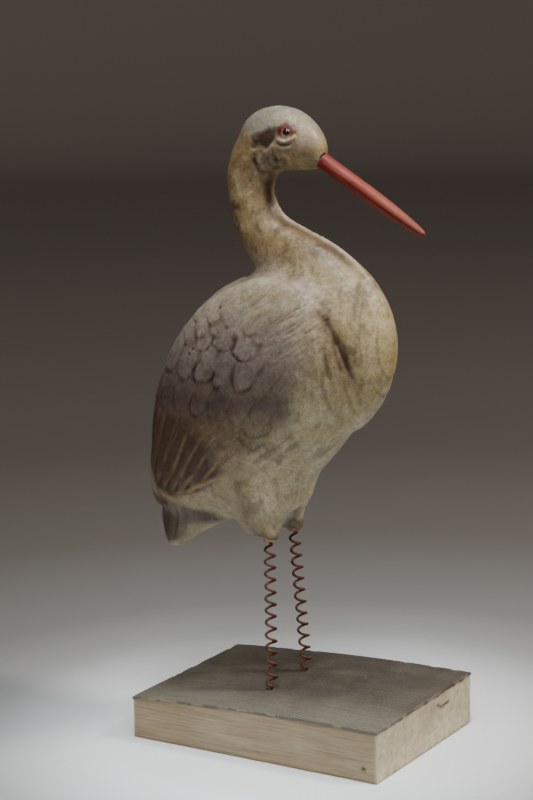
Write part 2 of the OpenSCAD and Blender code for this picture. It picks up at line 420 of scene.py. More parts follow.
class Paint:
    """A node material, with short ways to add and join nodes."""

    def __init__(self, name, **sockets):
        self.material = bpy.data.materials.new(name)
        self.material.use_nodes = True
        self.tree = self.material.node_tree
        self.shader = self.tree.nodes["Principled BSDF"]
        for socket, value in sockets.items():
            self.shader.inputs[socket.replace("_", " ")].default_value = value
        self.place = self.node("ShaderNodeTexCoord").outputs["Object"]

    def node(self, kind, values=None, **settings):
        made = self.tree.nodes.new(kind)
        for key, value in settings.items():
            setattr(made, key, value)
        for socket, value in (values or {}).items():
            self.feed(made.inputs[socket], value)
        return made

    def feed(self, socket, value):
        if isinstance(value, bpy.types.NodeSocket):
            self.tree.links.new(value, socket)
        else:
            socket.default_value = value

    def attribute(self, name, output="Fac"):
        return self.node("ShaderNodeAttribute", attribute_name=name).outputs[output]

    def stretched(self, x, y, z, droop=0.0):
        """The place on the object, where one unit is so many millimetres each way along a drooping axis."""
        values = {"Vector": self.place, "Scale": [x * MM, y * MM, z * MM], "Rotation": [0, droop, 0]}
        return self.node("ShaderNodeMapping", values, vector_type="TEXTURE").outputs["Vector"]

    def noise(self, size, detail=4, rough=0.6, place=None, twist=0.0):
        scale = 1.0 if place is not None else 1000 / size
        values = {"Vector": place or self.place, "Scale": scale, "Detail": detail}
        values |= {"Roughness": rough, "Distortion": twist}
        return self.node("ShaderNodeTexNoise", values).outputs["Fac"]

    def cells(self, size):
        """Distance to the edge of cells about so many millimetres across."""
        values = {"Vector": self.place, "Scale": 1000 / size}
        return self.node("ShaderNodeTexVoronoi", values, feature="DISTANCE_TO_EDGE").outputs["Distance"]

    def ramp(self, value, *stops):
        """Maps a value through stops of (position, colour or grey)."""
        made = self.node("ShaderNodeValToRGB", {"Fac": value})
        band = made.color_ramp
        while len(band.elements) < len(stops):
            band.elements.new(0.5)
        for element, (position, shade) in zip(band.elements, stops):
            element.position = position
            element.color = (*([shade] * 3 if np.ndim(shade) == 0 else shade), 1)
        return made.outputs["Color"]

    def range(self, value, low, high, to_low, to_high):
        values = {"Value": value, "From Min": low, "From Max": high, "To Min": to_low, "To Max": to_high}
        return self.node("ShaderNodeMapRange", values).outputs["Result"]

    def math(self, how, a, b):
        made = self.node("ShaderNodeMath", operation=how)
        self.feed(made.inputs[0], a)
        self.feed(made.inputs[1], b)
        return made.outputs[0]

    def blend(self, share, a, b, how="MIX"):
        made = self.node("ShaderNodeMix", data_type="RGBA", blend_type=how)
        for socket, value in (("Factor", share), ("A", a), ("B", b)):
            fits = [s for s in made.inputs if s.name == socket and (s.type == "RGBA" or socket == "Factor")]
            self.feed(fits[0], (*value, 1) if isinstance(value, (tuple, np.ndarray)) else value)
        return [s for s in made.outputs if s.type == "RGBA"][0]

    def fleck(self, colour, pattern, low, high, most, shade, how="MIX"):
        """Blends a shade over a colour where a pattern rises from low to high, by at most a share."""
        return self.blend(self.range(pattern, low, high, 0.0, most), colour, shade, how)

    def colour(self, value):
        self.feed(self.shader.inputs["Base Color"], value)

    def roughness(self, value):
        self.feed(self.shader.inputs["Roughness"], value)

    def bump(self, *layers):
        """Layers of (height from 0 to 1, its depth in millimetres)."""
        normal = None
        for height, depth in layers:
            made = self.node("ShaderNodeBump", {"Height": height, "Distance": depth * MM, "Strength": 1.0})
            if normal is not None:
                self.feed(made.inputs["Normal"], normal)
            normal = made.outputs["Normal"]
        self.feed(self.shader.inputs["Normal"], normal)


def painted_paper(name):
    """Old oil paint and yellowed varnish over paper pulp: the colour comes from the points of the mesh."""
    p = Paint(name, Coat_Weight=0.15, Coat_Roughness=0.25, Specular_IOR_Level=0.5)
    mottle = p.noise(4.5, 5, 0.65)
    soil = p.noise(1.1, 4, 0.75)
    speck = p.noise(0.55, 3, 0.7)
    paint = p.attribute("paint", "Color")
    colour = p.fleck(paint, mottle, 0.32, 0.7, 0.8, (0.66, 0.57, 0.42), "MULTIPLY")
    colour = p.fleck(colour, soil, 0.42, 0.66, 0.7, (0.60, 0.52, 0.42), "MULTIPLY")
    colour = p.fleck(colour, speck, 0.6, 0.72, 0.45, srgb(74, 52, 38))
    # Pale flecks here and there lighten the paint as painted glints, a painted highlight.
    colour = p.fleck(colour, p.noise(0.9, 2, 0.6), 0.6, 0.74, 0.8, (1.3, 1.28, 1.22), "MULTIPLY")
    crackle = p.range(p.cells(2.4), 0.0, 0.035, 1.0, 0.0)
    crackle = p.math("MULTIPLY", crackle, p.range(p.noise(9, 2), 0.5, 0.62, 0.0, 0.55))
    colour = p.blend(crackle, colour, srgb(66, 46, 34))
    p.colour(colour)
    wear = p.attribute("matt")
    rough = p.math("ADD", p.range(soil, 0.25, 0.75, 0.34, 0.56), p.math("MULTIPLY", wear, 0.3))
    p.roughness(rough)
    p.bump((mottle, 0.14), (soil, 0.08), (speck, 0.05), (crackle, -0.06))
    return p.material


def beak_paint(name):
    """Dull red paint over carved wood, deeper crimson at the face and more orange along the bill."""
    p = Paint(name, Coat_Weight=0.08, Coat_Roughness=0.4, Specular_IOR_Level=0.4)
    along = p.attribute("along")
    base = p.ramp(along, (0.0, srgb(128, 34, 30)), (0.25, srgb(150, 54, 42)), (0.6, srgb(160, 74, 54)),
                  (1.0, srgb(138, 62, 48)))
    streak = p.noise(1, 5, 0.65, place=p.stretched(11, 0.8, 0.8, BEAK_DROOP), twist=0.4)
    grain = p.noise(1, 3, 0.6, place=p.stretched(4, 0.25, 0.25, BEAK_DROOP))
    colour = p.fleck(base, streak, 0.38, 0.66, 0.6, srgb(104, 34, 28))
    colour = p.fleck(colour, streak, 0.52, 0.7, 0.35, srgb(186, 112, 84))
    colour = p.fleck(colour, grain, 0.5, 0.72, 0.5, srgb(92, 36, 28))
    colour = p.blend(p.attribute("groove"), colour, srgb(62, 24, 20))
    colour = p.fleck(colour, p.noise(1.3, 4, 0.75), 0.68, 0.74, 0.7, srgb(190, 140, 106))
    colour = p.fleck(colour, p.noise(0.5, 2), 0.66, 0.74, 0.5, srgb(52, 22, 18))
    p.colour(colour)
    p.roughness(p.range(streak, 0.3, 0.7, 0.42, 0.62))
    p.bump((streak, 0.12), (grain, 0.05), (p.noise(0.8, 3), 0.04))
    return p.material


def eye_glass(name):
    """A small dark bead with a dull red-brown edge."""
    p = Paint(name, Coat_Weight=0.6, Coat_Roughness=0.12)
    from_pupil = p.attribute("from_pupil")
    shade = p.ramp(from_pupil, (0.0, srgb(14, 9, 8)), (0.42, srgb(20, 11, 9)), (0.55, srgb(58, 22, 18)),
                   (0.75, srgb(96, 36, 30)), (0.9, srgb(84, 30, 26)), (1.0, srgb(48, 20, 18)))
    fleck = p.noise(0.35, 3, 0.7)
    p.colour(p.fleck(shade, fleck, 0.5, 0.75, 0.5, srgb(60, 22, 18)))
    p.roughness(p.range(fleck, 0.3, 0.8, 0.15, 0.3))
    p.bump((fleck, 0.02))
    return p.material


def rusty_wire(name):
    """Thin spring steel gone brown, with some metal left bright where the turns rub."""
    p = Paint(name, Specular_IOR_Level=0.5)
    rust = p.noise(1.6, 5, 0.7)
    pits = p.noise(0.35, 3, 0.7)
    colour = p.ramp(rust, (0.3, srgb(66, 38, 30)), (0.5, srgb(98, 56, 44)), (0.66, srgb(124, 74, 58)),
                    (0.8, srgb(150, 108, 92)))
    p.colour(p.fleck(colour, pits, 0.55, 0.7, 0.7, srgb(40, 26, 20)))
    p.feed(p.shader.inputs["Metallic"], p.range(rust, 0.35, 0.75, 0.1, 0.6))
    p.roughness(p.range(pits, 0.3, 0.7, 0.4, 0.68))
    p.bump((pits, 0.05), (rust, 0.06))
    return p.material


def block_wood(name):
    """Old softwood, its grain along the block: faint lines on the long sides, pitted on the sawn ends."""
    p = Paint(name, Specular_IOR_Level=0.25)
    stains = p.noise(30, 3, 0.55)
    values = {"Vector": p.stretched(420, 26, 26), "Scale": 1.0, "Distortion": 3.2, "Detail": 3.0}
    values |= {"Detail Scale": 1.4, "Detail Roughness": 0.6}
    rings = p.node("ShaderNodeTexWave", values, wave_type="RINGS", rings_direction="X").outputs["Fac"]
    fibre = p.noise(1, 6, 0.68, place=p.stretched(22, 0.8, 0.8))
    fine = p.noise(1, 3, 0.6, place=p.stretched(4, 0.25, 0.25))
    side = p.ramp(fibre, (0.28, srgb(134, 114, 90)), (0.5, srgb(158, 140, 116)), (0.72, srgb(176, 160, 136)))
    side = p.fleck(side, rings, 0.35, 0.9, 0.22, srgb(128, 106, 80))
    side = p.fleck(side, fine, 0.55, 0.75, 0.35, srgb(112, 94, 72))
    mottle = p.noise(3.5, 6, 0.75)
    # The sawn ends are much paler than the long sides: partly their own end grain, partly painted light, as the
    # end facing the key light looks brighter.
    end = p.ramp(mottle, (0.3, srgb(184, 166, 136)), (0.5, srgb(214, 198, 168)), (0.7, srgb(226, 213, 186)))
    end = p.fleck(end, rings, 0.4, 0.95, 0.14, srgb(150, 128, 98))
    end = p.fleck(end, p.noise(0.8, 3, 0.7), 0.58, 0.7, 0.6, srgb(122, 102, 76))
    colour = p.blend(p.attribute("end_grain_and_light"), side, end)
    colour = p.fleck(colour, stains, 0.45, 0.7, 0.35, srgb(120, 100, 76))
    colour = p.fleck(colour, p.noise(2.2, 4, 0.7), 0.64, 0.72, 0.4, srgb(84, 66, 48))
    # Darker at the edges, the nail hole and the crack: dark soiling, with painted shade along the bottom edge
    # and in the hole.
    colour = p.blend(p.attribute("grime_and_shade"), colour, srgb(66, 52, 40))
    p.colour(colour)
    p.roughness(p.range(fibre, 0.3, 0.7, 0.66, 0.86))
    p.bump((fibre, 0.12), (fine, 0.05), (p.noise(1.1, 3), 0.08))
    return p.material


def ground_paint(name):
    """Dark grey-green ground colour, brushed on thick, sandy and rubbed."""
    p = Paint(name, Specular_IOR_Level=0.35)
    broad = p.noise(17, 5, 0.62)
    brush = p.noise(1, 5, 0.6, place=p.stretched(20, 1.6, 6), twist=0.3)
    grit = p.noise(0.6, 3, 0.75)
    colour = p.ramp(broad, (0.3, srgb(58, 52, 46)), (0.5, srgb(74, 69, 61)), (0.7, srgb(90, 85, 76)))
    # Paler towards the front and the right end: partly a pale dusting, partly painted light where the top lies
    # outside the bird's shadow.
    colour = p.blend(p.attribute("dust_and_light"), colour, srgb(122, 118, 106))
    colour = p.fleck(colour, brush, 0.35, 0.7, 0.4, srgb(80, 74, 66))
    colour = p.fleck(colour, p.noise(4, 4, 0.7), 0.6, 0.74, 0.35, srgb(60, 52, 44))
    colour = p.fleck(colour, grit, 0.52, 0.66, 0.45, srgb(142, 136, 122))
    colour = p.fleck(colour, grit, 0.46, 0.34, 0.5, srgb(50, 44, 38))
    colour = p.blend(p.attribute("bare"), colour, srgb(150, 132, 104))
    p.colour(colour)
    p.roughness(p.range(brush, 0.3, 0.7, 0.6, 0.82))
    p.bump((brush, 0.12), (broad, 0.25), (grit, 0.08))
    return p.material


def turned_plug(name):
    """Pale dowel wood, cut across, with glue stains."""
    p = Paint(name, Specular_IOR_Level=0.3)
    grain = p.noise(1, 5, 0.65, place=p.stretched(0.8, 0.8, 9))
    colour = p.ramp(grain, (0.3, srgb(140, 110, 76)), (0.55, srgb(184, 154, 114)),
                    (0.75, srgb(202, 178, 140)))
    p.colour(p.fleck(colour, p.noise(3, 3), 0.5, 0.7, 0.6, srgb(110, 78, 46)))
    p.roughness(p.range(grain, 0.3, 0.7, 0.55, 0.8))
    p.bump((grain, 0.12), (p.noise(0.4, 2), 0.04))
    return p.material


def pasted_paper(name):
    """A strip of thin brown paper, stiff with size, laid over the join on the inside."""
    p = Paint(name, Specular_IOR_Level=0.3)
    pulp = p.noise(2.4, 5, 0.65)
    fibre = p.noise(1, 4, 0.65, place=p.stretched(3, 0.35, 3))
    colour = p.ramp(pulp, (0.3, srgb(138, 116, 84)), (0.5, srgb(164, 143, 108)), (0.7, srgb(182, 164, 130)))
    colour = p.fleck(colour, fibre, 0.52, 0.72, 0.5, srgb(112, 90, 62))
    colour = p.fleck(colour, p.noise(7, 3), 0.55, 0.72, 0.5, srgb(104, 76, 46))
    p.colour(colour)
    p.roughness(p.range(pulp, 0.3, 0.7, 0.6, 0.85))
    p.bump((pulp, 0.12), (fibre, 0.05))
    return p.material


def dress(obj, material):
    obj.data.materials.clear()
    obj.data.materials.append(material)
    return obj


# ---------------------------------------------------------------- the bird's body

# Places on the bird's side, as (ahead, above) the hip.
WING_OUTLINE = [(8, 126), (22, 124), (36, 116), (43, 103), (45, 84), (36, 62), (21, 47), (5, 39), (-10, 34),
                (-30, 22), (-46, 17), (-56, 20), (-60, 34), (-58, 50), (-53, 68), (-43, 90), (-29, 108),
                (-10, 121)]
WING_GROOVE = [(13, 125), (17, 122), (24, 117.5), (31.5, 114), (36, 107), (39.5, 101), (44, 89), (47, 78)]
# Feathers from the wingtip up to the shoulder, each over the ones before: root, tip, width, lift, dark
# outline, pale rim.
# The pale rim of each feather is a painted highlight along its raised edge.
FEATHERS = [
    ((4, 42), (-22, 24.5), 8.0, 0.40, 0.20, 0.15),
    ((-2, 47), (-30, 22), 8.0, 0.50, 0.30, 0.30),
    ((-9, 51), (-36, 21), 7.5, 0.60, 0.35, 0.40),
    ((-14, 57), (-42, 20.5), 7.5, 0.60, 0.35, 0.45),
    ((-21, 59), (-47, 20), 7.0, 0.60, 0.35, 0.40),
    ((-29, 61), (-51, 21), 7.0, 0.60, 0.35, 0.35),
    ((-37, 63), (-55, 23), 6.5, 0.55, 0.35, 0.35),
    ((-45, 66), (-58, 28), 6.0, 0.50, 0.35, 0.30),
    ((16, 64), (9, 47), 9.0, 0.25, 0.10, 0.05),
    ((6, 63), (-2, 46), 9.5, 0.35, 0.15, 0.08),
    ((-4, 62), (-14, 47), 9.0, 0.35, 0.15, 0.08),
    ((23, 75), (14, 57), 9.0, 0.25, 0.10, 0.05),
    ((14, 77), (5, 57), 10.0, 0.45, 0.15, 0.08),
    ((4, 78), (-7, 57.5), 10.0, 0.50, 0.15, 0.08),
    ((-7, 79), (-18, 58), 10.5, 0.55, 0.20, 0.12),
    ((-18, 80), (-28, 59.5), 10.0, 0.55, 0.20, 0.16),
    ((-28, 80), (-38, 60), 9.5, 0.55, 0.20, 0.16),
    ((-38, 80), (-47, 61), 9.0, 0.50, 0.20, 0.16),
    ((-46, 80), (-54, 63), 8.0, 0.45, 0.20, 0.12),
    ((26, 90), (15, 72), 9.5, 0.25, 0.10, 0.10),
    ((17, 92), (5, 71), 10.5, 0.40, 0.25, 0.10),
    ((8, 93), (-5, 73), 11.0, 0.60, 0.55, 0.10),
    ((-2, 94), (-15.5, 73.5), 11.0, 0.65, 0.65, 0.12),
    ((-13, 95), (-26, 74), 10.5, 0.65, 0.65, 0.12),
    ((-24, 95), (-36.5, 76), 10.0, 0.55, 0.45, 0.12),
    ((-35, 94), (-46, 78), 9.0, 0.45, 0.30, 0.12),
    ((16, 100), (11, 86), 10.0, 0.30, 0.15, 0.05),
    ((2, 100), (-1, 87), 12.5, 0.60, 0.80, 0.08),
    ((-9.5, 101), (-12.5, 89.5), 11.5, 0.60, 0.80, 0.08),
    ((-20, 101), (-23.5, 89), 9.5, 0.45, 0.45, 0.08),
    ((-29, 101), (-33, 90), 9.0, 0.40, 0.35, 0.08),
    ((8, 104), (6, 94.5), 9.0, 0.30, 0.20, 0.05),
    ((-4, 106), (-6, 95.5), 9.0, 0.35, 0.20, 0.05),
    ((-14, 106), (-16, 95.5), 8.5, 0.35, 0.25, 0.05),
    ((-23, 105), (-25.5, 94.5), 8.5, 0.45, 0.65, 0.08),
    ((2.5, 106), (1.2, 98), 8.0, 0.45, 0.40, 0.10),
    ((-8, 109), (-9.2, 101), 8.0, 0.40, 0.35, 0.10),
    ((-17.5, 109), (-18.8, 101), 7.5, 0.40, 0.35, 0.10),
    ((-27, 109), (-29, 101), 7.5, 0.30, 0.25, 0.08),
]
TONES = {
    "cream": srgb(204, 194, 162),
    "butter": srgb(206, 188, 136),
    "ochre": srgb(176, 150, 108),
    "neck": srgb(158, 134, 98),
    "mantle": srgb(186, 180, 168),
    "lilac": srgb(160, 152, 155),
    "lavender": srgb(132, 121, 126),
    "slate": srgb(92, 79, 82),
    "brown": srgb(112, 90, 74),
    "flight": srgb(92, 70, 58),
    "edge": srgb(190, 166, 122),
    "crown": srgb(158, 158, 149),
    "face": srgb(166, 152, 128),
    "dark": srgb(52, 34, 24),
    "red": srgb(112, 34, 30),
    "pale": srgb(206, 194, 166),
    "raw": srgb(150, 130, 98),
}


class Skin:
    """The bird's outer surface: its points, how far each is to move out, and its paint."""

    def __init__(self, obj):
        self.obj = obj
        self.points = points_of(obj)
        self.edges = edges_of(obj)
        self.normals = normals_of(obj)
        self.ahead = self.points[:, 0] - HIP[0]
        self.above = self.points[:, 2] - HIP[2]
        self.out = np.abs(self.points[:, 1])
        calm = 0.15 + 0.85 * smoothstep(self.above, 54, 72)
        self.feather_ahead = self.ahead + calm * self.wander(201)
        self.feather_above = self.above + calm * self.wander(203)
        self.height = np.zeros(len(self.points))
        self.paint = np.tile(TONES["cream"], (len(self.points), 1))
        self.matt = np.zeros(len(self.points))

    def wander(self, seed):
        """How far the feathers stray, in millimetres, in broad waves and small ones."""
        return 1.2 * value_noise(self.points / 7, seed) + 0.4 * value_noise(self.points / 2.4, seed + 1)

    def tint(self, colour, share):
        """Paints over part of what is there. A share of 1 hides it."""
        shade = TONES[colour] if isinstance(colour, str) else colour
        self.paint = mix(self.paint, shade, np.clip(share, 0, 1))

    def stroke(self, line, width, height, mask=1.0, colour=None, strength=0.8, taper=True):
        """A ridge, or a groove where height is negative, along a line in the side view."""
        away, place = line_distance(self.ahead, self.above, line)
        ends = np.sqrt(np.clip(4 * place * (1 - place), 0, 1)) if taper else 1.0
        share = np.exp(-((away / width) ** 2)) * mask * ends
        self.height += height * share
        if colour is not None:
            self.tint(colour, strength * share)

    def feather(self, root, tip, width, lift, ink, rim, mask, seed):
        """One feather over the others: a rounded tongue, raised at its tip, outlined dark, with a pale rim."""
        length, turn = math.dist(root, tip), math.atan2(tip[1] - root[1], tip[0] - root[0])
        du, dw = self.feather_ahead - root[0], self.feather_above - root[1]
        near = (np.abs(du) < length + width) & (np.abs(dw) < length + width) & (mask > 0)
        du, dw, share, place = du[near], dw[near], mask[near], self.points[near]
        along = du * math.cos(turn) + dw * math.sin(turn)
        across = -du * math.sin(turn) + dw * math.cos(turn)
        half, round_from = width / 2, 0.5 * length
        past = np.clip((along - round_from) / (length - round_from), 0, None)
        away = (np.sqrt((across / half) ** 2 + past ** 2) - 1) * half
        started = smoothstep(along, 0, 0.4 * length)
        inside = smoothstep(-away, -0.15, 0.7) * started
        lean = along - 1.2 * np.abs(across)
        barbs = value_noise(np.column_stack([lean / 1.0, across * 0.3, across * 0 + seed]), seed + 5)
        strokes = value_noise(np.column_stack([along / 9, across / 0.8, across * 0 + seed]), seed + 6)
        crown = lift * (0.35 + 0.65 * along / length) * (1 - 0.5 * np.clip(np.abs(across) / half, 0, 1) ** 2)
        broken = 0.25 + 0.75 * smoothstep(value_noise(place / 5, seed + 7), -0.3, 0.4)
        outline = bump_at(away, 0.4, 0.9) * smoothstep(along, 0.1 * length, 0.45 * length) * broken
        height = self.height[near]
        height = height + (crown + 0.06 * barbs + 0.05 * strokes - height) * inside * share
        self.height[near] = height - 0.30 * (0.35 + ink) * outline * share
        tone = 1 + 0.08 * barbs + 0.10 * strokes + 0.10 * math.sin(seed * 2.3)
        paint = self.paint[near] * (1 + (tone - 1) * inside * share)[:, None]
        # The pale rim just inside the outline is a painted highlight on the raised edge.
        edge = bump_at(away, -0.9, 0.7) * started * share * broken
        paint = mix(paint, TONES["edge"], edge * rim)
        self.paint[near] = mix(paint, TONES["dark"], outline * share * ink)


# The half shells, pushed together so that they overlap.
CLOSED_UP = (("shell_right", (0, SHELL_OVERLAP, 0)), ("shell_left", (0, -SHELL_OVERLAP, 0)))


def outer_skin():
    """One smooth closed surface over the two half shells, with every socket in them closed."""
    parts = [welded(node, shift) for node, shift in CLOSED_UP]
    parts += [welded(n) for n in ("head_plug", "leg_plug_right", "leg_plug_left")]
    for side in (-1, 1):
        parts.append(ball(HIP + EYE_PLACE * [1, side, 1] - [0, side * 0.7, 0], EYE_RADIUS + 0.2))
        parts += [ball(HIP + np.array(place) * [1, side, 1], CREASE_RADIUS) for place in CREASES]
    inward = np.array([-math.cos(BEAK_DROOP), 0, math.sin(BEAK_DROOP)])
    parts.append(ball(BEAK_ROOT + 1.2 * inward, BEAK_RADIUS + 0.1))
    skin = join(parts)
    skin.name = "skin"
    modifier = skin.modifiers.new("remesh", "REMESH")
    modifier.mode, modifier.voxel_size, modifier.adaptivity = "VOXEL", SKIN_SPACING * MM, 0
    skin = drop_parts(apply_modifiers(skin), 1)
    skin.data.materials.clear()
    raw, edges = points_of(skin), edges_of(skin)
    even = neighbour_blur(raw, edges, FACET_ROUNDS, 0.5)
    even += neighbour_blur(raw - even, edges, FACET_ROUNDS, 0.5)
    set_points(skin, even)
    hollow = ((neighbour_blur(even, edges, 12, 0.9) - even) * normals_of(skin)).sum(1)
    ahead, above = even[:, 0] - HIP[0], even[:, 2] - HIP[2]
    body = smoothstep(FILLET_TOP - above, 0, 14) * smoothstep(above, 3, 9)
    fillet = neighbour_blur(smoothstep(hollow, 0.02, 0.2) * body, edges, 14, 0.9)
    haunch = body * smoothstep(HAUNCH_TOP - above, 0, 18) * smoothstep(ahead, -36, -24)
    share = np.clip(2 * fillet + haunch, 0, 1)[:, None]
    set_points(skin, neighbour_blur(even, edges, FILLET_ROUNDS, 0.8 * share))
    finer = skin.modifiers.new("finer", "SUBSURF")
    finer.levels = finer.render_levels = 1
    return apply_modifiers(skin)


def shell_cavity(skin):
    """The hollow inside the shells, as a closed solid."""
    hollow = copy_of(skin, "hollow")
    for node, shift in CLOSED_UP:
        shell = welded(node, shift)
        cut(hollow, shell, "DIFFERENCE")
        remove(shell)
    return drop_parts(hollow, 1)


def paint_regions(s):
    """Broad colours: crown, face, neck, breast, belly, back, tail and thighs."""
    u, w = s.ahead, s.above
    blot = fractal(s.points, 16, 4, 3)
    fine = fractal(s.points, 5, 3, 8)
    s.tint("ochre", smoothstep(72 - w + 10 * blot, 0, 30) * 0.5)
    chest = smoothstep(u + 6 * blot, 22, 34) * smoothstep(w, 62, 80) * smoothstep(140 - w, 0, 14)
    s.tint("butter", chest * 0.3)
    s.tint(srgb(226, 218, 186), smoothstep(u, -8, 6) * smoothstep(82 - w, 0, 20) * 0.7)
    neck = smoothstep(w, 122, 138) * smoothstep(184 - w, 0, 12)
    s.tint("neck", neck * (0.75 + 0.4 * blot))
    back = smoothstep(14 - u + 6 * blot, 0, 14)
    s.tint("mantle", back * smoothstep(w, 66, 84) * smoothstep(134 - w, 0, 10))
    rump = smoothstep(2 - u + 8 * blot, 0, 20)
    s.tint("slate", rump * smoothstep(84 - w, 0, 18) * smoothstep(w, 26, 40) * 0.55)
    head = smoothstep(w, 165, 174)
    s.tint("face", head * smoothstep(u, -8, 0))
    crown_line = 183.5 + 0.12 * u + 2.5 * blot
    s.tint("crown", head * smoothstep(w, crown_line, crown_line + 5))
    s.tint("neck", head * smoothstep(-4 - u, 0, 6) * smoothstep(188 - w, 0, 6) * 0.8)
    # the neck is blotched with umber, and the breast streaked with grey
    s.tint(srgb(92, 70, 50), neck * smoothstep(fine + 0.6 * blot, 0.05, 0.5) * 0.75)
    s.tint(srgb(214, 200, 160), neck * smoothstep(-fine - 0.5 * blot, 0.15, 0.6) * 0.55)
    streak = along_noise(u, w, 96, 22, 1.9, 21) + 0.5 * along_noise(u, w, 92, 11, 0.9, 22)
    breast = smoothstep(u, 16, 30) * smoothstep(w, 58, 70) * smoothstep(132 - w, 0, 12)
    s.tint(srgb(128, 118, 104), breast * smoothstep(streak, 0.25, 0.9) * 0.6)
    s.tint("pale", breast * smoothstep(-streak, 0.3, 0.9) * 0.45)
    s.height += 0.12 * streak * breast
    brush = fractal(s.points * [1, 1, 0.45], 2.2, 3, 23)
    s.tint(srgb(104, 92, 60), (1 - head) * smoothstep(brush, 0.05, 0.55) * 0.42)
    s.height += 0.10 * brush * (1 - head)
    yellow = fractal(s.points, 11, 3, 27)
    s.tint(srgb(190, 170, 98), smoothstep(u, -6, 16) * smoothstep(yellow, 0.08, 0.45) * 0.45)
    # brown stains low on the belly and on the thighs
    belly = smoothstep(58 - w, 0, 20) * smoothstep(w, -4, 8)
    stain = fractal(s.points * [1, 1, 0.6], 9, 4, 31)
    s.tint(srgb(104, 78, 52), belly * smoothstep(stain, 0.12, 0.5) * 0.6)
    thigh = smoothstep(16 - w, 0, 10) * smoothstep(u, -12, -7) * smoothstep(12 - u, 0, 4)
    s.tint("face", thigh * 0.7)
    s.tint(srgb(96, 80, 64), thigh * smoothstep(fine, -0.1, 0.4) * 0.8)


# Soft bands of colour down the wing: tone, how ragged, height above the hip, width, strength.
WING_BANDS = (("lilac", 3, 96, 13, 0.85), ("lavender", 4, 80, 11, 0.85), ("slate", 5, 66, 11, 0.90))
BREAST_CREASES = (((40, 98), (42.5, 82)), ((43.5, 96), (45.5, 80)), ((37, 92), (38.5, 80)))
PINHOLES = ((-15, 109), (-28.5, 89.5), (-30.5, 87))  # small holes in the paint


def model_wings(s):
    """Overlapping feathers on both wings, the hairy shoulder, and the line where wing and breast meet."""
    u, w = s.ahead, s.above
    blot = fractal(s.points, 12, 3, 47)
    inside = inside_distance(u, w, WING_OUTLINE)
    mask = smoothstep(inside, -1.5, 2.5) * smoothstep(s.out, 8, 14)
    faded = mask * (1 - 0.8 * smoothstep(u + 4 * blot, 15, 30))
    s.tint("mantle", mask * smoothstep(w, 76, 92) * (1 - smoothstep(u, 24, 40)) * 0.85)
    for tone, ragged, height, width, share in WING_BANDS:
        s.tint(tone, faded * bump_at(w + ragged * blot, height, width) * share)
    s.tint("brown", faded * bump_at(w + 4 * blot, 52, 9) * smoothstep(20 - u, 0, 20) * 0.6)
    behind = -0.95 * (u + 22) - 0.55 * (w - 38) + 10
    quills = mask * smoothstep(62 - w + 3 * blot, 0, 8) * smoothstep(behind + 5 * blot, 0, 13)
    s.tint("flight", quills * 0.95)
    shoulder = mask * smoothstep(w, 78, 98) * smoothstep(u - 0.5 * (104 - w), -6, 10)
    shoulder *= smoothstep(inside, 3, 9)
    hairs = along_noise(u, w, 30, 7, 0.8, 51) + 0.7 * along_noise(u, w, 38, 5, 0.5, 52)
    hairs *= np.clip(0.75 + 0.9 * fractal(s.points, 7, 3, 53), 0.2, 1.2)
    s.tint("pale", mask * smoothstep(w, 90, 112) * 0.25 + shoulder * smoothstep(hairs, 0.1, 0.8) * 0.6)
    s.tint(srgb(108, 96, 80), shoulder * smoothstep(-hairs, 0.2, 0.9) * 0.55)
    s.height += 0.15 * hairs * shoulder
    fades = mask * (1 - 0.85 * smoothstep(u, 12, 28)) * (1 - 0.6 * shoulder)
    for seed, (root, tip, width, lift, ink, rim) in enumerate(FEATHERS, 100):
        s.feather(root, tip, width, lift, ink, rim, fades, seed)
    sweep = mask * smoothstep(58 - w, 0, 8) * (1 - quills)  # long brush strokes below the feathers
    drawn = along_noise(u, w, 38, 16, 1.1, 55) + 0.5 * along_noise(u, w, 46, 9, 0.6, 56)
    s.tint(srgb(104, 88, 72), sweep * smoothstep(drawn, 0.1, 0.8) * 0.5)
    s.tint("pale", sweep * smoothstep(-drawn, 0.3, 0.9) * 0.35)
    s.height += 0.16 * drawn * sweep
    side = smoothstep(s.out, 6, 10)
    ragged = np.clip(0.6 + 0.9 * fractal(s.points, 5, 3, 57), 0.15, 1)
    # The broad brown bands along the groove are painted shade; the thin dark line at its lower end is the
    # crack.
    s.stroke(WING_GROOVE, 5.0, -0.35, side * ragged, srgb(104, 80, 54), 0.75, taper=False)
    s.stroke(WING_GROOVE[3:], 2.8, -0.35, side * ragged, srgb(76, 53, 36), 0.85)
    s.stroke(WING_GROOVE[4:], 0.9, -0.7, side, "dark", 0.8)
    # Dark brown in the breast creases is painted shade.
    for crease in BREAST_CREASES:
        s.stroke(crease, 0.7, -0.3, side, srgb(78, 56, 38), 0.6)
    s.stroke([(-4, 57), (1, 51.5), (8, 53), (13.5, 57)], 0.9, -0.35, mask, "dark", 0.4)
    s.stroke([(-6, 51.5), (2, 45.5), (10, 51)], 0.9, -0.35, mask, "dark", 0.45)
    s.stroke([(-12.5, 32), (-20.5, 29.5), (-29.5, 25), (-35, 22.5), (-46, 19)], 1.0, 0.5, side, "edge", 0.8)
    for u0, w0 in PINHOLES:
        hole = np.exp(-(((u - u0) ** 2 + (w - w0) ** 2) / 0.4)) * mask
        s.height -= 0.6 * hole
        s.tint("dark", hole * 1.2)


